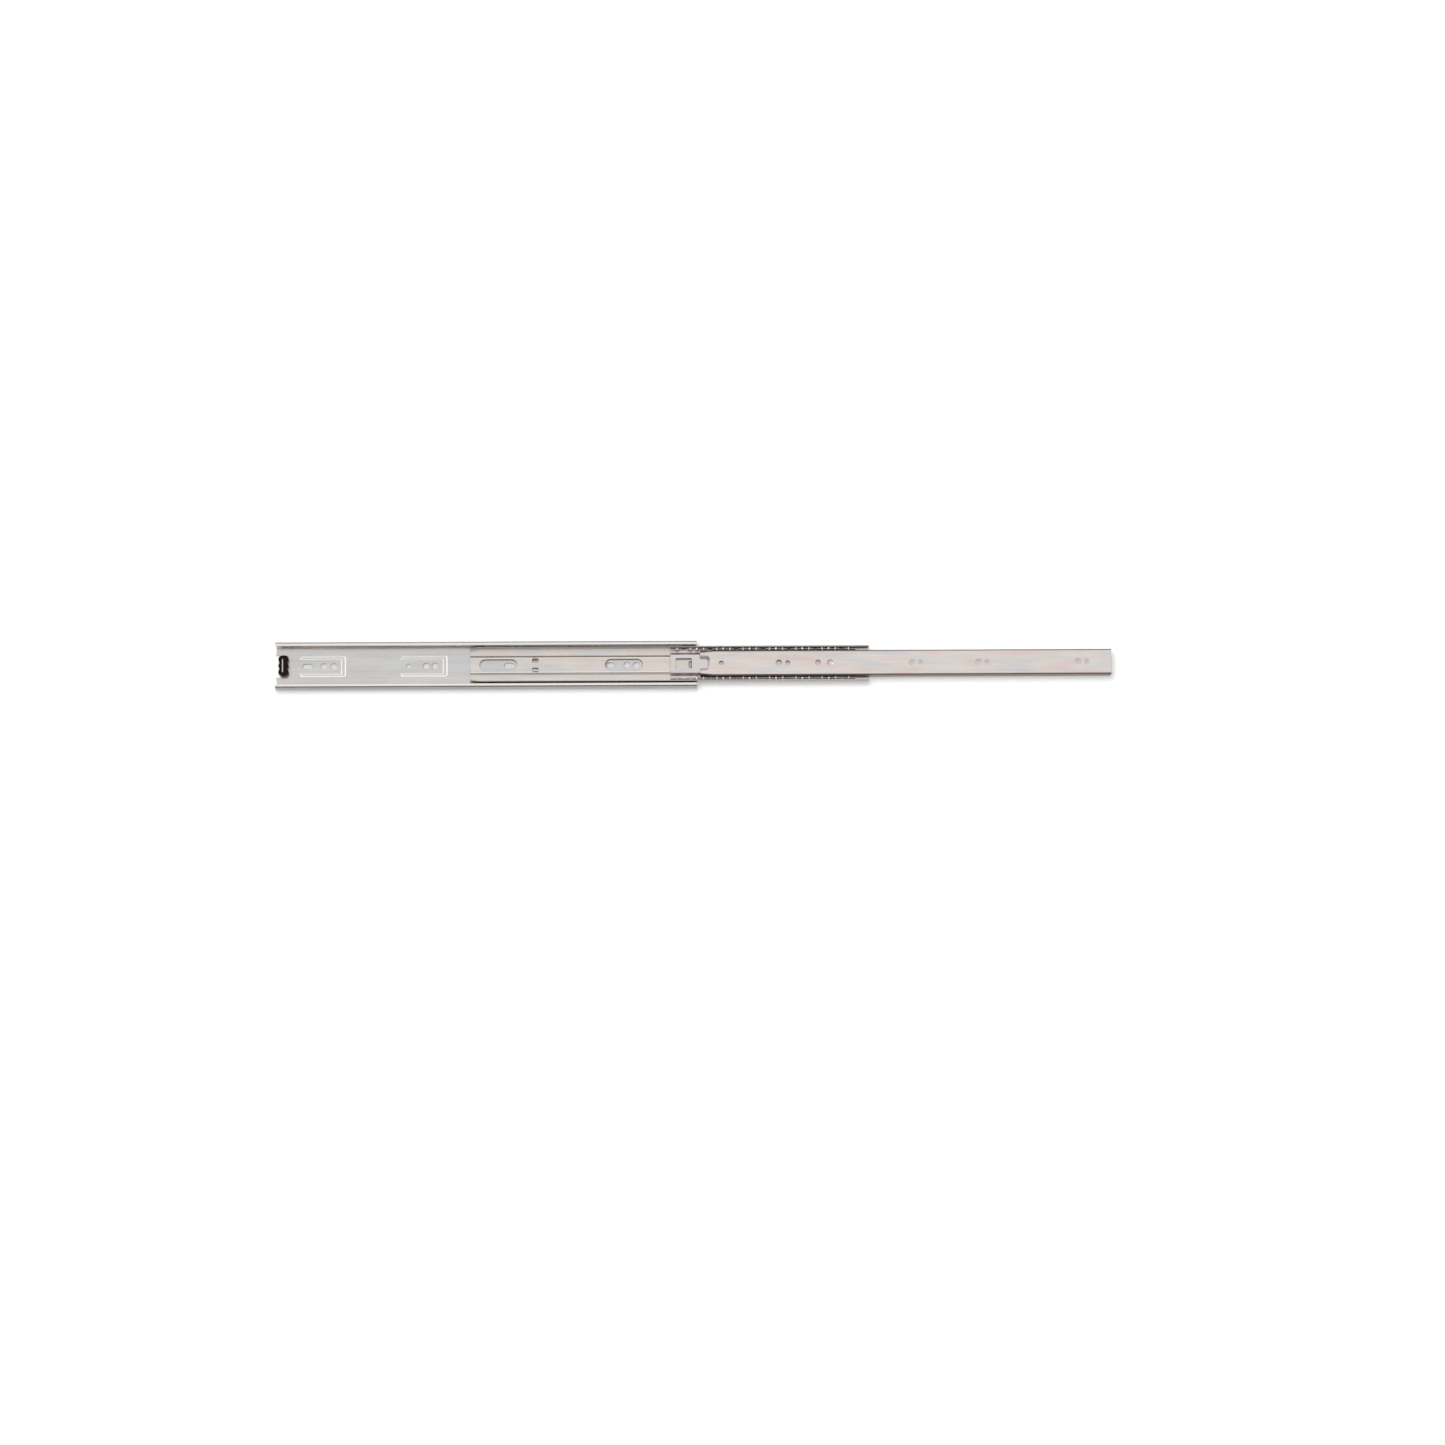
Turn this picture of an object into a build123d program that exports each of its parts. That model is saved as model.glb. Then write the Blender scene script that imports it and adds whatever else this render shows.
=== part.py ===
"""Full-extension ball-bearing drawer slide, 45.7 mm class, shown fully extended.

Three nested steel channels roll on two trains of balls.  The outer member screws
to the cabinet side, the inner member to the drawer, and the middle member carries
the drawer out past the cabinet front.

Frame, in millimetres: X runs along the slide and the drawer pulls out towards +X.
X = 0 is the front end of the outer member, Y = 0 its centre line and Z = 0 its
mounting face.  +Z points at the drawer.
"""

import os

from build123d import *

# ---- overall size -------------------------------------------------------------
slide_length = 406.4          # outer member, 16 in
slide_width = 45.7            # across the outer channel
slide_depth = 12.7            # mounting face to drawer face, 1/2 in
gauge = 1.2                   # sheet steel of all three members

# ---- where each piece stands along X when the drawer is fully out --------------
outer_rear = -slide_length
middle_rear = -218.4
middle_length = 384.0
inner_rear = 3.2
inner_length = 396.0
inner_front = inner_rear + inner_length
inner_cage_rear = -25.5
inner_cage_length = 178.0
outer_cage_rear = -205.0
outer_cage_length = 190.0

# ---- balls ----------------------------------------------------------------------
ball_pitch = 25.4
outer_ball_radius = 2.38      # 3/16 in
outer_ball_y = 19.22
outer_ball_z = 5.0
outer_ball_count = 8
inner_ball_radius = 1.985     # 5/32 in
inner_ball_y = 14.27
inner_ball_z = 8.4

# ---- bent-sheet outlines: (Y, Z) from one lip to the centre, then bend radii ----
half_width = slide_width / 2
outer_shoulder_y = half_width - 0.5   # the upper half of each side wall is set in
outer_outline = [
    (18.75, 11.45),
    (outer_shoulder_y, 11.6),
    (outer_shoulder_y, 8.9),
    (half_width, 7.3),
    (half_width, 0),
]
outer_bends = [2.2, 3.0, 3.0, 2.8]

middle_web_z = 1.7            # underside of the side valleys
middle_crown_z = 3.4          # underside of the raised centre
middle_outline = [
    (16.75, 10.8),
    (17.75, 8.6),
    (16.66, 5.0),
    (17.3, middle_web_z),
    (8.9, middle_web_z),
    (6.9, middle_crown_z),
]
middle_bends = [1.9, 2.2, 1.9, 0.5, 1.7]

inner_lip_z = 5.3
inner_outline = [
    (12.92, inner_lip_z),
    (12.17, 8.4),
    (12.82, slide_depth),
]
inner_bends = [2.2, 2.3]

flange_from_y = 10.0          # everything further out than this is flange
cut_margin = 0.5              # how far a cutting shape runs past the sheet it cuts

cage_gauge = 0.6
cage_web_z = 8.2              # underside of the inner cage's flat centre
cage_foot_z = 4.0
cage_strip_top = 9.4
cage_outline = [
    (inner_ball_y + cage_gauge / 2, cage_strip_top),
    (inner_ball_y + cage_gauge / 2, cage_foot_z),
    (10.8, cage_foot_z),
    (8.8, cage_web_z),
]
cage_bends = [1.2, 0.7, 1.3]

# ---- outer member: screw holes and beads, measured from its rear end -----------
web_slot = (9.5, 5.4)         # overall length and width
slot_places = [30.9, 225.4, 322.0]
large_hole_radius = 3.1
large_hole_places = [46.8, 56.4, 145.4, 153.9, 338.8, 347.9]
small_hole_radius = 2.4
small_hole_places = [128.6]
bead_spans = [(23.8, 68.0), (121.0, 166.0), (313.0, 359.0)]
bead_half_width = 10.1
bead_arm = 3.3                # width of the two long legs of the U
bead_bar = 4.8                # width of its cross bar
bead_corner = 2.0
bead_depth = 0.4
bead_wall_taper = 72          # degrees from upright, so the sides are gentle slopes
rear_notch_depth = 13.0
rear_notch_width = 21.6
rear_notch_corner = 2.5
rear_scoop_radius = 13.2      # shallow hollow in each rear edge of the web
rear_scoop_depth = 1.2
rear_scoop_y = 15.775

# ---- rubber bumper and the tab it sits on, measured from the same end ----------
tab_width = 13.0
tab_start = 6.5
tab_top_z = 8.8
tongue_overlap = 0.5          # the tongue runs this far into the web
bumper_start = 3.0
bumper_length = 10.0
bumper_waist_length = 8.0     # between the rounded lobes
bumper_base_z = gauge + 0.05
bumper_top_z = 9.0            # the inner member's collar passes over it
bumper_edge_radius = 0.5
bumper_valley_radius = 0.7    # where two lobes meet
bumper_slot_clearance = 0.05
lobe_half_width = 3.8
lobe_pitch = 6.2

# ---- middle member features, measured from its rear end -------------------------
window_size = (36.5, 11.6)
window_starts = [8.8, 129.8]
catch_place = 62.6            # pair of lanced tabs that stop the inner cage
catch_size = (5.2, 0.9)
catch_y = 6.2
catch_root_z = 3.8
catch_top_z = 8.1
lance_size = (6.0, 3.2)       # opening that each lanced tab leaves
lance_y = 4.2
middle_pinch = 0.9            # the flanges close in at the rear end
middle_pinch_length = 8.0

# ---- extension stop: the middle's tab meets the outer's ear near the front -----
stop_face_x = -7.2
stop_gap = 0.3
stop_width = 5.0
stop_tab_bottom_z = 1.5
stop_tab_top_z = 4.0
stop_cut_size = (7.0, 6.4)    # opening in the middle member's raised centre
stop_cut_corner = 2.4
ear_top_z = 3.1
ear_cut_size = (2.4, 5.6)     # opening in the outer member's web

# ---- inner member features, measured from its front end -------------------------
inner_large_radius = 2.9
inner_large_places = [32.2, 128.2, 192.2, 320.2]
inner_small_radius = 2.25
inner_small_places = [23.7, 119.7, 183.7, 311.7, 375.7]
inner_mid_radius = 2.65       # hole with a burr turned down around it
inner_mid_place = 282.6
inner_burr_radius = 3.5
inner_burr_bottom_z = 9.3
dimple_place = 270.7
dimple_radius = 3.1
dimple_floor_radius = 1.7
dimple_depth = 0.8
end_notch_depth = 9.5
end_notch_width = 14.4
end_notch_corner = 4.5
collar_bottom_z = 9.2
collar_flare = 36             # degrees from upright
inner_end_outline = [         # the rear end's shoulders are drawn in
    (12.8, inner_lip_z),
    (11.9, 8.4),
    (10.7, slide_depth),
]
inner_end_length = 12.5
toe_chamfer = 2.4             # at the foot of each flange's front end

# ---- inner cage features ----------------------------------------------------------
bridge_pitch = ball_pitch / 2
first_bridge = 6.5            # from the cage's rear end
bridge_count = 14
bridge_width = 1.3
bridge_reach = (12.95, 15.4)  # Y span of each bright bridge over the ball race
vee_tip_y = 11.9
vee_base_y = 13.87
vee_half_base = 2.3
cage_window = (15.4, 10.6)
cage_window_corner = 0.8
cage_window_start = 5.2
pocket_clearance = 0.1

# ---- outer cage strips ------------------------------------------------------------
outer_cage_gauge = 0.7
outer_cage_height = 6.4
outer_cage_lip = (1.45, 0.5)  # folded in over the balls: width from the outer face, and gauge


def sheet_section(outline, bends, thickness, inside, start):
    """Profile of one bent sheet, mirrored about Y = 0, on the YZ plane at X = start."""
    mirrored = [(-y, z) for y, z in reversed(outline)]
    with BuildSketch(Plane.YZ.offset(start)) as section:
        with BuildLine():
            FilletPolyline(*outline, *mirrored, radius=bends + bends[::-1])
            offset(amount=thickness, side=inside)
        make_face()
    return section.sketch


def pinched(outline, amount):
    """The same outline with its flange drawn in by amount; the web stays put."""
    return [(y - amount if y > flange_from_y else y, z) for y, z in outline]


def ball(radius, x, y, z):
    """One bearing ball."""
    with BuildPart() as sphere:
        with Locations((x, y, z)):
            Sphere(radius)
    return sphere.part


def from_outer_rear(distances):
    """X positions of features measured from the outer member's rear end."""
    return [outer_rear + distance for distance in distances]


def from_inner_front(distances):
    """X positions of features measured from the inner member's front end."""
    return [inner_front - distance for distance in distances]


os.makedirs("parts", exist_ok=True)

# ---- outer member: the channel that screws to the cabinet ------------------------
outer_section = sheet_section(outer_outline, outer_bends, gauge, Side.RIGHT, outer_rear)
scoop_x = outer_rear + rear_scoop_depth - rear_scoop_radius
tab_x = outer_rear + tab_start
tongue_length = rear_notch_depth - tab_start + tongue_overlap
ear_x = stop_face_x + stop_gap
ear_cut_x = ear_x + gauge + ear_cut_size[0] / 2
bead_inside_width = 2 * (bead_half_width - bead_arm)

with BuildPart() as outer_member:
    extrude(outer_section, amount=slide_length)
    # U-shaped beads pressed into the web, open towards the rear
    with BuildSketch(Plane.XY.offset(gauge)):
        for start, end in bead_spans:
            with Locations((outer_rear + (start + end) / 2, 0)):
                RectangleRounded(end - start, 2 * bead_half_width, bead_corner)
            inside_start = start - cut_margin
            inside_end = end - bead_bar
            with Locations((outer_rear + (inside_start + inside_end) / 2, 0)):
                Rectangle(inside_end - inside_start, bead_inside_width, mode=Mode.SUBTRACT)
    extrude(amount=-bead_depth, taper=bead_wall_taper, mode=Mode.SUBTRACT)
    # screw slots and holes
    with BuildSketch(Plane.XY):
        with Locations([(x, 0) for x in from_outer_rear(slot_places)]):
            SlotOverall(*web_slot)
        with Locations([(x, 0) for x in from_outer_rear(large_hole_places)]):
            Circle(large_hole_radius)
        with Locations([(x, 0) for x in from_outer_rear(small_hole_places)]):
            Circle(small_hole_radius)
        # opening that the extension-stop ear is bent out of
        with Locations((ear_cut_x, 0)):
            Rectangle(*ear_cut_size)
    extrude(amount=gauge, mode=Mode.SUBTRACT)
    # rear end: notch for the bumper and hollowed web edges
    with BuildSketch(Plane.XY):
        with Locations((outer_rear, 0)):
            RectangleRounded(2 * rear_notch_depth, rear_notch_width, rear_notch_corner)
        with Locations((scoop_x, rear_scoop_y), (scoop_x, -rear_scoop_y)):
            Circle(rear_scoop_radius)
    extrude(amount=gauge, mode=Mode.SUBTRACT)
    # tongue and upright tab that hold the bumper
    with Locations((tab_x, 0, 0)):
        Box(tongue_length, tab_width, gauge, align=(Align.MIN, Align.CENTER, Align.MIN))
        Box(gauge, tab_width, tab_top_z, align=(Align.MIN, Align.CENTER, Align.MIN))
    # ear that the middle member's stop tab runs up against
    with Locations((ear_x, 0, 0)):
        Box(gauge, stop_width, ear_top_z, align=(Align.MIN, Align.CENTER, Align.MIN))
outer_member.part.label = "outer_member"
export_step(outer_member.part, "parts/outer_member.step")

# ---- rubber bumper pushed over the tab ---------------------------------------------
bumper_x = outer_rear + bumper_start + bumper_length / 2

with BuildPart() as rear_bumper:
    with BuildSketch(Plane.XY.offset(bumper_base_z)) as bumper_outline:
        with Locations((bumper_x, 0)):
            Rectangle(bumper_waist_length, 2 * lobe_pitch)
        with Locations([(bumper_x, step * lobe_pitch) for step in (-1, 0, 1)]):
            Ellipse(bumper_length / 2, lobe_half_width)
        fillet(bumper_outline.vertices(), radius=bumper_valley_radius)
    extrude(amount=bumper_top_z - bumper_base_z)
    fillet(rear_bumper.faces().sort_by(Axis.Z)[-1].edges(), radius=bumper_edge_radius)
    # slot for the tab, right through
    with BuildSketch(Plane.XY.offset(bumper_base_z)):
        with Locations((tab_x + gauge / 2, 0)):
            Rectangle(gauge + 2 * bumper_slot_clearance, tab_width + 2 * bumper_slot_clearance)
    extrude(amount=bumper_top_z, mode=Mode.SUBTRACT)
rear_bumper.part.label = "rear_bumper"
export_step(rear_bumper.part, "parts/rear_bumper.step")

# ---- middle member: the S-flanged channel between the two ball trains ---------------
main_start = middle_rear + middle_pinch_length
middle_section = sheet_section(
    middle_outline, middle_bends, gauge, Side.RIGHT, main_start
)
middle_end_section = sheet_section(
    pinched(middle_outline, middle_pinch), middle_bends, gauge, Side.RIGHT, middle_rear
)
catch_x = middle_rear + catch_place
stop_tab_x = stop_face_x - gauge

with BuildPart() as middle_member:
    extrude(middle_section, amount=middle_length - middle_pinch_length)
    loft([middle_end_section.face(), middle_section.face()], ruled=True)
    # lightening windows, lanced openings and the stop tab's opening
    with BuildSketch(Plane.XY.offset(middle_crown_z - cut_margin)):
        for start in window_starts:
            with Locations((middle_rear + start + window_size[0] / 2, 0)):
                SlotOverall(*window_size)
        with Locations((catch_x, lance_y), (catch_x, -lance_y)):
            Rectangle(*lance_size)
        with Locations((stop_tab_x + stop_cut_size[0] / 2, 0)):
            RectangleRounded(*stop_cut_size, stop_cut_corner)
    extrude(amount=gauge + 2 * cut_margin, mode=Mode.SUBTRACT)
    # lanced tabs that stop the inner cage, stood up from the raised centre
    with Locations((catch_x, catch_y, catch_root_z), (catch_x, -catch_y, catch_root_z)):
        Box(
            *catch_size, catch_top_z - catch_root_z,
            align=(Align.CENTER, Align.CENTER, Align.MIN),
        )
    # stop tab bent down towards the outer member
    with Locations((stop_tab_x, 0, stop_tab_bottom_z)):
        Box(
            gauge, stop_width, stop_tab_top_z - stop_tab_bottom_z,
            align=(Align.MIN, Align.CENTER, Align.MIN),
        )
middle_member.part.label = "middle_member"
export_step(middle_member.part, "parts/middle_member.step")

# ---- inner member: the channel that screws to the drawer ---------------------------
inner_start = inner_rear + inner_end_length
inner_section = sheet_section(inner_outline, inner_bends, gauge, Side.LEFT, inner_start)
inner_end_section = sheet_section(
    inner_end_outline, inner_bends, gauge, Side.LEFT, inner_rear
)
inner_mid_x = inner_front - inner_mid_place
collar_depth = end_notch_depth + gauge
collar_width = end_notch_width + 2 * gauge

with BuildPart() as inner_member:
    extrude(inner_section, amount=inner_length - inner_end_length)
    loft([inner_end_section.face(), inner_section.face()], ruled=True)
    # rear notch with a collar turned down and in, like half a funnel
    with BuildSketch(Plane.XY.offset(slide_depth)):
        with Locations((inner_rear, 0)):
            RectangleRounded(2 * collar_depth, collar_width, end_notch_corner + gauge)
    extrude(amount=collar_bottom_z - slide_depth, taper=collar_flare)
    with BuildSketch(Plane.XY.offset(slide_depth)):
        with Locations((inner_rear, 0)):
            RectangleRounded(2 * end_notch_depth, end_notch_width, end_notch_corner)
    extrude(amount=collar_bottom_z - slide_depth, taper=collar_flare, mode=Mode.SUBTRACT)
    with Locations((inner_rear, 0, collar_bottom_z)):
        Box(
            2 * collar_depth, 2 * slide_width, slide_depth,
            align=(Align.MAX, Align.CENTER, Align.MIN), mode=Mode.SUBTRACT,
        )
    # screw holes
    with BuildSketch(Plane.XY.offset(slide_depth)):
        with Locations([(x, 0) for x in from_inner_front(inner_large_places)]):
            Circle(inner_large_radius)
        with Locations([(x, 0) for x in from_inner_front(inner_small_places)]):
            Circle(inner_small_radius)
    extrude(amount=-gauge, mode=Mode.SUBTRACT)
    # locating hole with its turned-down burr
    with Locations((inner_mid_x, 0, slide_depth)):
        Cylinder(
            inner_burr_radius, slide_depth - inner_burr_bottom_z,
            align=(Align.CENTER, Align.CENTER, Align.MAX),
        )
        Cylinder(
            inner_mid_radius, slide_depth,
            align=(Align.CENTER, Align.CENTER, Align.MAX), mode=Mode.SUBTRACT,
        )
    # pressed dimple
    with Locations((inner_front - dimple_place, 0, slide_depth)):
        Cone(
            dimple_floor_radius, dimple_radius, dimple_depth,
            align=(Align.CENTER, Align.CENTER, Align.MAX), mode=Mode.SUBTRACT,
        )
    # chamfered toe of each flange at the front end
    with BuildSketch(Plane.XZ):
        with BuildLine():
            Polyline(
                (inner_front - toe_chamfer - cut_margin, inner_lip_z - cut_margin),
                (inner_front + cut_margin, inner_lip_z - cut_margin),
                (inner_front + cut_margin, inner_lip_z + toe_chamfer + cut_margin),
                close=True,
            )
        make_face()
    extrude(amount=half_width, both=True, mode=Mode.SUBTRACT)
inner_member.part.label = "inner_member"
export_step(inner_member.part, "parts/inner_member.step")

# ---- inner cage: hat-shaped sheet with a ball strip along each side ----------------
cage_section = sheet_section(
    cage_outline, cage_bends, cage_gauge, Side.RIGHT, inner_cage_rear
)
first_bridge_x = inner_cage_rear + first_bridge
bridge_x = [first_bridge_x + step * bridge_pitch for step in range(bridge_count)]
pocket_x = [x + bridge_pitch / 2 for x in bridge_x[:-1]]
window_x = [
    inner_cage_rear + cage_window_start + cage_window[0] / 2,
    inner_cage_rear + inner_cage_length - cage_window_start - cage_window[0] / 2,
]
bridge_width_y = bridge_reach[1] - bridge_reach[0]
bridge_y = (bridge_reach[0] + bridge_reach[1]) / 2

with BuildPart() as inner_cage:
    extrude(cage_section, amount=inner_cage_length)
    # window near each end of the flat centre
    with BuildSketch(Plane.XY.offset(cage_web_z)):
        with Locations([(x, 0) for x in window_x]):
            RectangleRounded(*cage_window, cage_window_corner)
    extrude(amount=cage_gauge, mode=Mode.SUBTRACT)
    # V-notches where the bridges are lanced out of the foot
    with BuildSketch(Plane.XY.offset(cage_foot_z)):
        for x in bridge_x:
            for side in (1, -1):
                with BuildLine():
                    Polyline(
                        (x, side * vee_tip_y),
                        (x + vee_half_base, side * vee_base_y),
                        (x - vee_half_base, side * vee_base_y),
                        close=True,
                    )
                make_face()
    extrude(amount=2 * cage_gauge, mode=Mode.SUBTRACT)
    for side in (1, -1):
        # ball pockets, open at the top edge of the strip
        with Locations([(x, side * inner_ball_y, inner_ball_z) for x in pocket_x]):
            Cylinder(
                inner_ball_radius + pocket_clearance, 2 * cage_gauge,
                rotation=(90, 0, 0), mode=Mode.SUBTRACT,
            )
        # bridges folded across the ball race
        with Locations([(x, side * bridge_y, cage_strip_top) for x in bridge_x]):
            Box(
                bridge_width, bridge_width_y, cage_gauge,
                align=(Align.CENTER, Align.CENTER, Align.MIN),
            )
inner_cage.part.label = "inner_cage"
export_step(inner_cage.part, "parts/inner_cage.step")

# ---- outer cage: one ball strip in each race of the outer member -------------------
outer_train_length = ball_pitch * (outer_ball_count - 1)
first_outer_ball = outer_cage_rear + (outer_cage_length - outer_train_length) / 2
outer_ball_x = [first_outer_ball + step * ball_pitch for step in range(outer_ball_count)]
inner_ball_x = pocket_x[1::2]
sides = {"upper": 1, "lower": -1}
cage_lip_y = outer_ball_y + (outer_cage_gauge - outer_cage_lip[0]) / 2
cage_lip_z = outer_ball_z + (outer_cage_height - outer_cage_lip[1]) / 2

for side_name, side in sides.items():
    with BuildPart() as outer_cage_strip:
        strip_x = outer_cage_rear + outer_cage_length / 2
        with Locations((strip_x, side * outer_ball_y, outer_ball_z)):
            Box(outer_cage_length, outer_cage_gauge, outer_cage_height)
        with Locations((strip_x, side * cage_lip_y, cage_lip_z)):
            Box(outer_cage_length, *outer_cage_lip)
        # ball pockets
        with Locations([(x, side * outer_ball_y, outer_ball_z) for x in outer_ball_x]):
            Cylinder(
                outer_ball_radius + pocket_clearance, 2 * outer_cage_gauge,
                rotation=(90, 0, 0), mode=Mode.SUBTRACT,
            )
    outer_cage_strip.part.label = f"outer_cage_{side_name}"
    export_step(outer_cage_strip.part, f"parts/outer_cage_{side_name}.step")

# ---- the balls, each a piece of its own ---------------------------------------------
for side_name, side in sides.items():
    for number, x in enumerate(outer_ball_x, start=1):
        outer_ball = ball(outer_ball_radius, x, side * outer_ball_y, outer_ball_z)
        outer_ball.label = f"outer_ball_{side_name}_{number}"
        export_step(outer_ball, f"parts/{outer_ball.label}.step")
    for number, x in enumerate(inner_ball_x, start=1):
        inner_ball = ball(inner_ball_radius, x, side * inner_ball_y, inner_ball_z)
        inner_ball.label = f"inner_ball_{side_name}_{number}"
        export_step(inner_ball, f"parts/{inner_ball.label}.step")
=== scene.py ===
"""Looks for the extended drawer slide: plated steel, polished balls, rubber bumper, studio.

Everything is in metres in the CAD frame: X along the slide, +Z towards the drawer.
"""

import math

import bpy
from mathutils import Matrix, Vector

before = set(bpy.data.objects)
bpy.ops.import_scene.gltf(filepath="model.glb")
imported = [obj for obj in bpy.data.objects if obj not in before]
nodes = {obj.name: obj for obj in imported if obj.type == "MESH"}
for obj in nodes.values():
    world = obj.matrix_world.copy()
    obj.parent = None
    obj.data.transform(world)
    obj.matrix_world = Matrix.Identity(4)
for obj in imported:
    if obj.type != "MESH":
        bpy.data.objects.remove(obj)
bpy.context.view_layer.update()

MM = 0.001

# ---- camera, in metres and degrees, against the slide's own origin ----------------------
CAMERA_ELEVATION = 80.5
CAMERA_ROLL = 0.25            # the drawer end sits a little higher in the picture
CAMERA_DISTANCE = 9.7
CAMERA_CLIP = (0.05, 100.0)
SENSOR_WIDTH = 36.0           # millimetres, as the camera's lens is
FRAME_WIDTH = 1.3933          # what the picture spans at the aim point
AIM_RIGHT = 0.0246
AIM_DOWN = 0.0552

# ---- light ------------------------------------------------------------------------------
# Floor and metal are lit apart. The overhead box, the shade sun and the ambient fill don't
# show in reflections; the tent and the key sun are what the metal mirrors.
OVERHEAD_SIZE = 3.4
OVERHEAD_HEIGHT = 3.0
OVERHEAD_RADIANCE = 0.50
SHADE_FROM = Vector((-0.22, 0.30, 0.93))
SHADE_SPREAD = 40.0           # degrees, so the shadow on the floor is soft
SHADE_STRENGTH = 1.75
KEY_FROM = Vector((-0.80, 0.45, 0.36))
KEY_SPREAD = 50.0
KEY_STRENGTH = 0.4            # low, or the webs go white when seen from the front right
AMBIENT_COLOUR = (0.28, 0.28, 0.28)
TENT_STRENGTH = 1.6
TENT_LEAN = (-0.16, 0.36, 0.919)   # its bright side is behind and to the left
TENT_TONES = [                # from the horizon (0) to the top of the tent (1)
    (0.00, (0.23, 0.220, 0.210, 1)),
    (0.52, (0.27, 0.255, 0.240, 1)),
    (0.68, (0.50, 0.49, 0.48, 1)),
    (0.78, (0.78, 0.78, 0.77, 1)),
    (0.86, (0.78, 0.78, 0.77, 1)),
    (0.93, (0.57, 0.57, 0.57, 1)),
]

# ---- floor ------------------------------------------------------------------------------
PAPER_ROUGHNESS = 0.9
FLOOR_COLOUR = (0.9, 0.9, 0.9, 1)
FLOOR_GLOW = 0.26             # a light table, so shadows stay pale
FLOOR_SIZE = 40.0
FLOOR_HEIGHT = -0.2 * MM
# painted shade: a dimmer sheet under the cabinet member stands in for its shadow
PAINTED_SHADE_UNDER_COLOUR = (0.76, 0.76, 0.76, 1)
UNDER_SHADE_INSET = 5 * MM    # kept inside the outline of the cabinet member
UNDER_SHADE_HEIGHT = -0.1 * MM


def linear(*values):
    """Linear colour from display values between 0 and 255."""
    result = []
    for value in values:
        share = value / 255
        result.append(share / 12.92 if share <= 0.04045 else ((share + 0.055) / 1.055) ** 2.4)
    return (*result, 1.0)


# ---- studio -----------------------------------------------------------------------------
def make_camera():
    """Looks down on the slide from the front, nearly from straight above."""
    elevation = math.radians(CAMERA_ELEVATION)
    roll = math.radians(CAMERA_ROLL)
    back = Vector((0, -math.cos(elevation), math.sin(elevation)))
    level_up = Vector((0, math.sin(elevation), math.cos(elevation)))
    right = math.cos(roll) * Vector((1, 0, 0)) - math.sin(roll) * level_up
    up = back.cross(right)
    data = bpy.data.cameras.new("camera")
    data.sensor_width = SENSOR_WIDTH
    data.lens = data.sensor_width * CAMERA_DISTANCE / FRAME_WIDTH
    data.clip_start, data.clip_end = CAMERA_CLIP
    camera = bpy.data.objects.new("camera", data)
    aim = AIM_RIGHT * right - AIM_DOWN * up
    turn = Matrix((right, up, back)).transposed().to_4x4()
    camera.matrix_world = Matrix.Translation(aim + CAMERA_DISTANCE * back) @ turn
    bpy.context.scene.collection.objects.link(camera)
    bpy.context.scene.camera = camera


def make_overhead():
    """Large soft box straight above the slide."""
    data = bpy.data.lights.new("overhead", "AREA")
    data.shape = "SQUARE"
    data.size = OVERHEAD_SIZE
    data.energy = OVERHEAD_RADIANCE * math.pi * OVERHEAD_SIZE**2
    light = bpy.data.objects.new("overhead", data)
    light.location = (0, 0, OVERHEAD_HEIGHT)
    light.visible_camera = False
    light.visible_glossy = False
    bpy.context.scene.collection.objects.link(light)


def make_sun(name, source, spread, strength):
    """A sun that shines from source, spread degrees across."""
    data = bpy.data.lights.new(name, "SUN")
    data.angle = math.radians(spread)
    data.energy = strength
    light = bpy.data.objects.new(name, data)
    light.rotation_mode = "QUATERNION"
    light.rotation_quaternion = source.to_track_quat("Z", "Y")
    light.location = source
    bpy.context.scene.collection.objects.link(light)
    return light


def make_suns():
    """A steep soft one for the floor's shadow, and a low one that glints on the metal."""
    shade = make_sun("shade", SHADE_FROM, SHADE_SPREAD, SHADE_STRENGTH)
    shade.visible_glossy = False
    key = make_sun("key", KEY_FROM, KEY_SPREAD, KEY_STRENGTH)
    key.visible_diffuse = False


def set_ramp(node, stops):
    """Gives a colour ramp its stops of (place, colour)."""
    band = node.color_ramp
    while len(band.elements) < len(stops):
        band.elements.new(0.5)
    for element, (place, colour) in zip(band.elements, stops):
        element.position = place
        element.color = colour


def make_world():
    """A light tent in the metal, pale fill on the floor, white past the floor."""
    world = bpy.data.worlds.new("studio")
    bpy.context.scene.world = world
    world.use_nodes = True
    tree = world.node_tree
    path = tree.nodes.new("ShaderNodeLightPath")
    direction = tree.nodes.new("ShaderNodeTexCoord")
    rise = tree.nodes.new("ShaderNodeVectorMath")
    rise.operation = "DOT_PRODUCT"
    rise.inputs[1].default_value = TENT_LEAN
    tent = tree.nodes.new("ShaderNodeValToRGB")
    set_ramp(tent, TENT_TONES)
    tree.links.new(direction.outputs["Generated"], rise.inputs[0])
    tree.links.new(rise.outputs["Value"], tent.inputs["Fac"])
    shown = tree.nodes["Background"]
    shown.inputs["Strength"].default_value = TENT_STRENGTH
    tree.links.new(tent.outputs["Color"], shown.inputs["Color"])
    for ray, colour in (("Is Diffuse Ray", AMBIENT_COLOUR), ("Is Camera Ray", (1, 1, 1))):
        other = tree.nodes.new("ShaderNodeBackground")
        other.inputs["Color"].default_value = (*colour, 1)
        mix = tree.nodes.new("ShaderNodeMixShader")
        tree.links.new(path.outputs[ray], mix.inputs["Fac"])
        tree.links.new(shown.outputs[0], mix.inputs[1])
        tree.links.new(other.outputs[0], mix.inputs[2])
        shown = mix
    tree.links.new(shown.outputs[0], tree.nodes["World Output"].inputs["Surface"])


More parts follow.
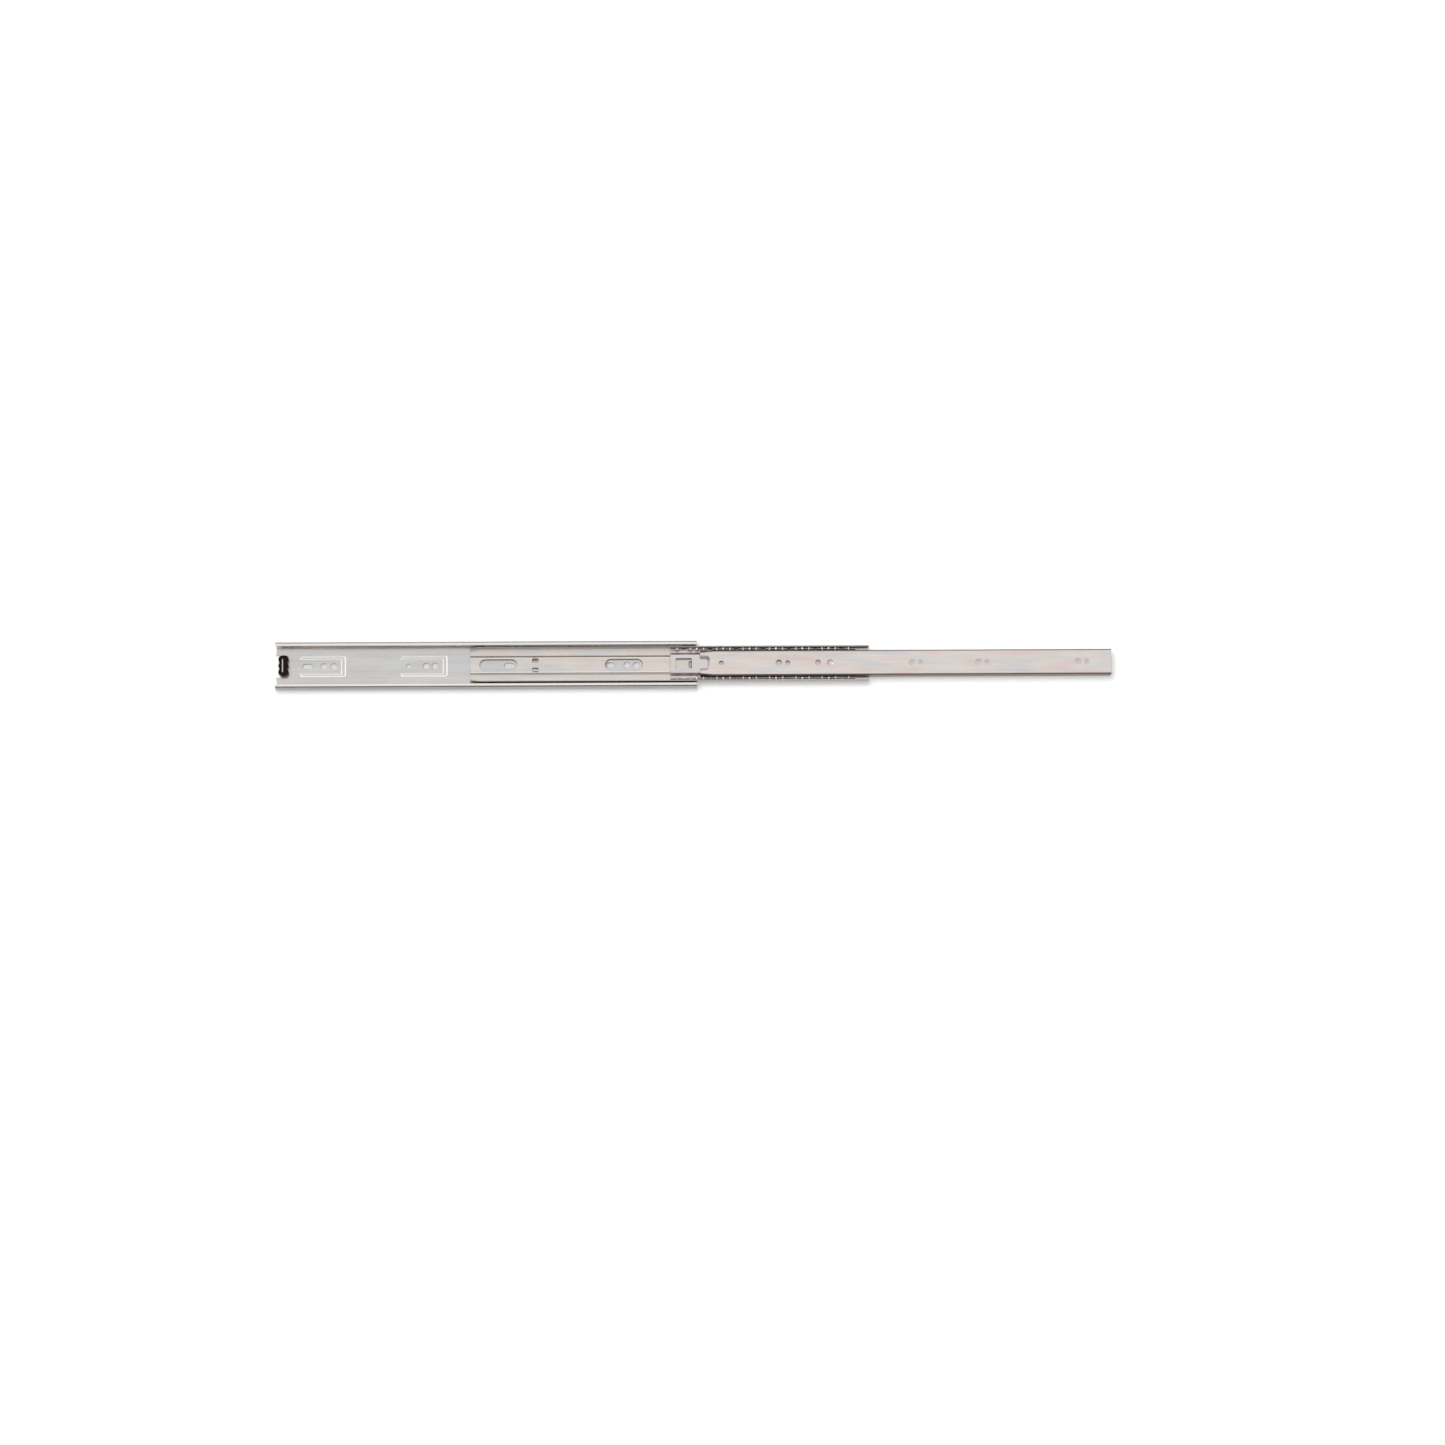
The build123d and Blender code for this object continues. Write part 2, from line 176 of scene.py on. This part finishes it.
def make_paper(name, colour, glow=0.0):
    """Matt paper; glow is the light it sends out by itself."""
    material = bpy.data.materials.new(name)
    material.use_nodes = True
    shader = material.node_tree.nodes["Principled BSDF"]
    shader.inputs["Base Color"].default_value = colour
    shader.inputs["Roughness"].default_value = PAPER_ROUGHNESS
    shader.inputs["Specular IOR Level"].default_value = 0.0
    shader.inputs["Emission Color"].default_value = (1, 1, 1, 1)
    shader.inputs["Emission Strength"].default_value = glow
    return material


def lay_sheet(name, size, centre, material):
    """A flat sheet of the studio, size along X and Y."""
    bpy.ops.mesh.primitive_plane_add(size=1, location=centre)
    sheet = bpy.context.object
    sheet.name = name
    sheet.scale = (*size, 1)
    sheet.data.materials.append(material)


def make_floor():
    paper = make_paper("floor_paper", FLOOR_COLOUR, FLOOR_GLOW)
    lay_sheet("floor", (FLOOR_SIZE, FLOOR_SIZE), (0, 0, FLOOR_HEIGHT), paper)


def make_under_shade(member):
    """Dimmer paper under the cabinet member: painted shade for the light its web keeps off
    the floor.
    """
    corners = [member.matrix_world @ Vector(corner) for corner in member.bound_box]
    low = [min(corner[axis] for corner in corners) + UNDER_SHADE_INSET for axis in (0, 1)]
    high = [max(corner[axis] for corner in corners) - UNDER_SHADE_INSET for axis in (0, 1)]
    size = (high[0] - low[0], high[1] - low[1])
    centre = ((low[0] + high[0]) / 2, (low[1] + high[1]) / 2, UNDER_SHADE_HEIGHT)
    paper = make_paper("painted_shade_paper", PAINTED_SHADE_UNDER_COLOUR)
    lay_sheet("painted_shade_sheet", size, centre, paper)


# ---- shader graph helper ----------------------------------------------------------------
class Graph:
    """One material's nodes, added and linked by short calls."""

    def __init__(self, name):
        self.material = bpy.data.materials.new(name)
        self.material.use_nodes = True
        self.tree = self.material.node_tree
        self.shader = self.tree.nodes["Principled BSDF"]
        self.place = self.add("TexCoord").outputs["Object"]
        self.normal = self.add("NewGeometry").outputs["True Normal"]

    def set(self, node, inputs):
        """Links the inputs that are sockets and sets the others."""
        for key, value in inputs.items():
            if isinstance(value, bpy.types.NodeSocket):
                self.tree.links.new(value, node.inputs[key])
            else:
                node.inputs[key].default_value = value

    def add(self, kind, inputs=None, **settings):
        node = self.tree.nodes.new("ShaderNode" + kind)
        for key, value in settings.items():
            setattr(node, key, value)
        self.set(node, inputs or {})
        return node

    def math(self, operation, *values, clamp=False):
        inputs = dict(enumerate(values))
        return self.add("Math", inputs, operation=operation, use_clamp=clamp).outputs[0]

    def span(self, value, low, high, to_low=0.0, to_high=1.0):
        """value taken from low..high to to_low..to_high, smoothly and without overshoot."""
        inputs = {"Value": value, "From Min": low, "From Max": high,
                  "To Min": to_low, "To Max": to_high}
        return self.add("MapRange", inputs, interpolation_type="SMOOTHSTEP").outputs[0]

    def axes(self, vector):
        return self.add("SeparateXYZ", {"Vector": vector}).outputs

    def noise(self, lengths, detail=2.0, seed=0.0):
        """Noise whose features are about lengths long, in metres, along X, Y and Z."""
        scale = tuple(1 / length for length in lengths)
        inputs = {"Vector": self.place, "Scale": scale, "Location": (seed, seed, seed)}
        placed = self.add("Mapping", inputs).outputs[0]
        inputs = {"Vector": placed, "Scale": 1.0, "Detail": detail}
        return self.add("TexNoise", inputs).outputs["Fac"]

    def ramp(self, value, stops):
        """Colour from value, with stops of (place, colour)."""
        node = self.add("ValToRGB", {"Fac": value})
        set_ramp(node, stops)
        return node.outputs["Color"]

    def blend(self, amount, first, second, how="MIX"):
        inputs = {"Factor": amount, 6: first, 7: second}
        node = self.add("Mix", {}, data_type="RGBA", blend_type=how)
        self.set(node, inputs)
        return node.outputs[2]


# ---- steel ------------------------------------------------------------------------------
FILM_TINTS = [
    (0.30, (0.90, 0.93, 1.0, 1)),
    (0.40, (0.93, 0.985, 0.94, 1)),
    (0.50, (1.0, 1.0, 0.985, 1)),
    (0.60, (1.0, 0.965, 0.86, 1)),
    (0.70, (1.0, 0.895, 0.94, 1)),
]
# colour for old lubricant and painted shade where walls are near
GREASE_AND_SHADE = (0.34, 0.30, 0.27, 1)
SHEARED = (0.52, 0.50, 0.49, 1)
LIP = (0.47, 0.44, 0.42, 1)
# painted highlight colour, for crests, shoulders and ball-race faces
GLEAM = (0.88, 0.85, 0.825, 1)
EDGE_WEAR_AND_SHEEN_COLOUR = (0.86, 0.84, 0.82, 1)
EDGE_RADIUS = 0.6 * MM
EDGE_WEAR_AND_SHEEN_AMOUNT = 0.30
RACE_HIGHLIGHT_AMOUNT = 0.8
GREASE_AND_SHADE_REACH = 5 * MM         # how near the walls are that shelter old grease
SHEARED_ROUGHER = 0.14
EDGE_SMOOTHER = 0.06
GLEAM_SMOOTHER = 0.10
NO_CUT_ABOVE = 30 * MM        # higher than any piece
NO_CUT_BELOW = -10 * MM       # lower than any piece

# painted shade by slope: what a surface's colour is multiplied by, from upright (0) to level
# (1)
OUTER_SLOPE_SHADE = [(0.0, (0.64, 0.61, 0.59, 1)), (0.45, (0.50, 0.465, 0.44, 1)),
              (0.80, (0.48, 0.44, 0.41, 1)), (0.94, (1, 1, 1, 1))]
MIDDLE_SLOPE_SHADE = [(0.0, (0.50, 0.465, 0.44, 1)), (0.60, (0.70, 0.665, 0.64, 1)),
               (0.90, (1, 1, 1, 1))]
INNER_SLOPE_SHADE = [(0.0, (0.31, 0.285, 0.27, 1)), (0.40, (0.34, 0.31, 0.295, 1)),
              (0.82, (0.24, 0.21, 0.195, 1)), (0.985, (1, 1, 1, 1))]
CAGE_SLOPE_SHADE = [(0.0, (0.85, 0.83, 0.83, 1)), (0.80, (1, 1, 1, 1))]


def plated_steel(name, colour, roughness, film, cut_above, cut_below, hole_reach,
                 flange_from, slope_shade_from, slope_shade_tones, gleam, grease_and_shade):
    """Rolled strip with a thin plated finish, in the frame of the rest pose.

    film         how strong the rainbow tints are
    cut_above    outside the web, everything above this height is a lip's cut edge,
    cut_below    and so is everything below this one
    hole_reach   half width of the web, where upright faces are the walls of holes
    flange_from  distance from the centre line at which the flanges begin
    slope_shade_from    distance from the centre line beyond which slopes get painted shade by slope_shade_tones
    gleam        how bright the painted highlight on crests and shoulders is
    grease       how much near walls darken the colour, for old lubricant and painted shade
    """
    g = Graph(name)
    x_normal, y_normal, z_normal = g.axes(g.normal)[:3]
    across, height = g.axes(g.place)[1:3]

    rolling = g.noise((110 * MM, 0.9 * MM, 0.9 * MM), detail=4)
    patches = g.noise((45 * MM, 9 * MM, 9 * MM), detail=3, seed=3)
    value = g.math("ADD", g.span(rolling, 0.3, 0.7, 0.965, 1.035),
                   g.span(patches, 0.3, 0.7, -0.03, 0.03))
    tint = g.ramp(g.noise((48 * MM, 7 * MM, 7 * MM), detail=1, seed=7), FILM_TINTS)
    coloured = g.blend(film, colour, tint, how="MULTIPLY")
    coloured = g.add("HueSaturation", {"Color": coloured, "Value": value}).outputs[0]

    # sheared faces: the two ends, the walls of punched holes and the lips' cut edges
    ends = g.span(g.math("ABSOLUTE", x_normal), 0.80, 0.95)
    upright = g.span(g.math("ABSOLUTE", z_normal), 0.35, 0.15)
    inside = g.math("LESS_THAN", g.math("ABSOLUTE", across), hole_reach)
    sheared = g.math("MAXIMUM", ends, g.math("MULTIPLY", upright, inside))
    outside = g.math("SUBTRACT", 1.0, inside)
    lip = g.math("MAXIMUM", g.math("GREATER_THAN", height, cut_above),
                 g.math("LESS_THAN", height, cut_below))
    lip = g.math("MULTIPLY", lip, outside)
    coloured = g.blend(sheared, coloured, SHEARED)
    coloured = g.blend(lip, coloured, LIP)

    # painted shade darkens a fold as it turns down, and a painted highlight brightens the
    # level crests and shoulders beside it
    level = g.math("ABSOLUTE", z_normal)
    flange = g.math("GREATER_THAN", g.math("ABSOLUTE", across), flange_from)
    inward = g.math("LESS_THAN", g.math("MULTIPLY", y_normal, across), 0.0)
    race = g.math("MULTIPLY", g.math("MULTIPLY", flange, inward), g.span(level, 0.95, 0.8))
    # painted highlight: mask of level crests and shoulders, blended towards GLEAM
    shoulder = g.math("MULTIPLY", g.span(level, 0.996, 0.97), g.span(level, 0.80, 0.92))
    crest = g.math("MULTIPLY", flange, g.span(level, 0.975, 0.993))
    off_flange = g.math("SUBTRACT", 1.0, flange)
    painted_highlight = g.math("ADD", crest, g.math("MULTIPLY", shoulder, off_flange))
    uncut = g.math("SUBTRACT", 1.0, g.math("MAXIMUM", sheared, lip))
    painted_highlight = g.math("MULTIPLY", painted_highlight, uncut)
    coloured = g.blend(g.math("MULTIPLY", painted_highlight, gleam), coloured, GLEAM)
    # painted shade: colour darkened by slope beyond slope_shade_from, except on the ball-race
    # faces
    slope_shaded = g.math("GREATER_THAN", g.math("ABSOLUTE", across), slope_shade_from)
    slope_shaded = g.math("MULTIPLY", slope_shaded, g.math("SUBTRACT", 1.0, race))
    coloured = g.blend(slope_shaded, coloured, g.ramp(level, slope_shade_tones), how="MULTIPLY")
    # painted highlight on the inward flange faces, the ball races, which lie in shade between
    # the members
    coloured = g.blend(g.math("MULTIPLY", race, RACE_HIGHLIGHT_AMOUNT), coloured, GLEAM)

    # bright edges, where a rounded normal leaves the flat one: partly wear, partly a painted
    # highlight
    rounded = g.add("Bevel", {"Radius": EDGE_RADIUS}, samples=4).outputs["Normal"]
    along = g.add("VectorMath", {0: rounded, 1: g.normal}, operation="DOT_PRODUCT")
    edge_wear_and_sheen = g.span(along.outputs["Value"], 0.985, 0.86, 0.0, EDGE_WEAR_AND_SHEEN_AMOUNT)
    edge_wear_and_sheen = g.math("MULTIPLY", edge_wear_and_sheen, g.math("SUBTRACT", 1.0, lip))
    coloured = g.blend(edge_wear_and_sheen, coloured, EDGE_WEAR_AND_SHEEN_COLOUR)

    # darkened where walls are near, by occlusion: partly old lubricant in the ball races and
    # folds, partly painted shade
    shelter = g.add("AmbientOcclusion", {"Distance": GREASE_AND_SHADE_REACH}, samples=6).outputs["AO"]
    smear = g.noise((14 * MM, 2 * MM, 2 * MM), detail=3, seed=11)
    smear = g.span(smear, 0.25, 0.75, -0.06, 0.06)
    greasy_shade = g.span(g.math("ADD", shelter, smear), 0.62, 0.18, 0.0, grease_and_shade)
    coloured = g.blend(greasy_shade, coloured, GREASE_AND_SHADE)

    rough = g.span(patches, 0.3, 0.7, roughness - 0.03, roughness + 0.04)
    rough = g.math("ADD", rough, g.math("MULTIPLY", sheared, SHEARED_ROUGHER))
    rough = g.math("ADD", rough, g.math("MULTIPLY", edge_wear_and_sheen, -EDGE_SMOOTHER))
    rough = g.math("ADD", rough, g.math("MULTIPLY", painted_highlight, -GLEAM_SMOOTHER * gleam))
    waves = g.add("Bump", {"Height": g.noise((60 * MM, 14 * MM, 14 * MM), seed=5),
                           "Strength": 0.25, "Distance": 0.25 * MM, "Normal": rounded})
    lines = g.add("Bump", {"Height": rolling, "Strength": 0.12, "Distance": 0.03 * MM,
                           "Normal": waves.outputs[0]})
    g.set(g.shader, {"Base Color": coloured, "Metallic": 1.0, "Roughness": rough,
                     "Normal": lines.outputs[0]})
    return g.material


def ball_steel(name):
    """Ground and polished, under a thin uneven coat of grease."""
    g = Graph(name)
    smear = g.noise((1.6 * MM, 1.6 * MM, 1.6 * MM), detail=3)
    colour = g.ramp(smear, [(0.40, linear(236, 233, 228)), (0.62, linear(206, 196, 184))])
    g.set(g.shader, {"Base Color": colour, "Metallic": 1.0,
                     "Roughness": g.span(smear, 0.35, 0.65, 0.10, 0.24)})
    return g.material


def bumper_rubber(name):
    """Moulded rubber, near black on top and browner on its upright sides, the brown being
    painted light.
    """
    g = Graph(name)
    grain = g.noise((0.35 * MM, 0.35 * MM, 0.35 * MM), detail=3)
    mottle = g.noise((3 * MM, 3 * MM, 3 * MM), detail=2, seed=2)
    level = g.math("ABSOLUTE", g.axes(g.normal)[2])
    # painted light makes upright sides lighter and browner, plus random mottle
    side_light_and_mottle = g.math("ADD", g.span(level, 0.9, 0.2, 0.0, 0.75),
                  g.span(mottle, 0.45, 0.75, 0.0, 0.25))
    colour = g.ramp(side_light_and_mottle, [(0.15, linear(20, 10, 7)), (0.95, linear(112, 70, 60))])
    bump = g.add("Bump", {"Height": grain, "Strength": 0.4, "Distance": 0.05 * MM})
    g.set(g.shader, {"Base Color": colour, "Roughness": g.span(grain, 0.3, 0.7, 0.42, 0.6),
                     "Specular IOR Level": 0.12, "Normal": bump.outputs[0]})
    return g.material


def dress(names, material):
    """Gives the named CAD pieces one material."""
    for name in names:
        mesh = nodes[name].data
        mesh.materials.clear()
        mesh.materials.append(material)


def names_with(word):
    return sorted(name for name in nodes if word in name)


# ---- the studio, made -------------------------------------------------------------------
make_camera()
make_world()
make_floor()
make_under_shade(nodes["outer_member"])
make_overhead()
make_suns()
bpy.context.scene.view_settings.view_transform = "Standard"

# ---- the pieces -------------------------------------------------------------------------
dress(["outer_member"], plated_steel(
    "outer_zinc", linear(208, 207, 207), 0.25, film=0.25,
    cut_above=NO_CUT_ABOVE, cut_below=NO_CUT_BELOW, hole_reach=16 * MM,
    flange_from=18 * MM, slope_shade_from=18 * MM, slope_shade_tones=OUTER_SLOPE_SHADE, gleam=1.0, grease_and_shade=0.1))
dress(["middle_member"], plated_steel(
    "middle_zinc", linear(220, 213, 211), 0.27, film=0.8,
    cut_above=10.25 * MM, cut_below=NO_CUT_BELOW, hole_reach=7.5 * MM,
    flange_from=14 * MM, slope_shade_from=0.0, slope_shade_tones=MIDDLE_SLOPE_SHADE, gleam=0.9, grease_and_shade=0.10))
dress(["inner_member"], plated_steel(
    "inner_zinc", linear(222, 214, 214), 0.32, film=1.0,
    cut_above=NO_CUT_ABOVE, cut_below=5.31 * MM, hole_reach=9 * MM,
    flange_from=10 * MM, slope_shade_from=10 * MM, slope_shade_tones=INNER_SLOPE_SHADE, gleam=0.0, grease_and_shade=0.25))
dress(names_with("cage"), plated_steel(
    "cage_steel", linear(216, 209, 211), 0.36, film=0.2,
    cut_above=NO_CUT_ABOVE, cut_below=NO_CUT_BELOW, hole_reach=9 * MM,
    flange_from=24 * MM, slope_shade_from=0.0, slope_shade_tones=CAGE_SLOPE_SHADE, gleam=0.0, grease_and_shade=0.03))
dress(names_with("ball"), ball_steel("ball_steel"))
dress(["rear_bumper"], bumper_rubber("bumper_rubber"))
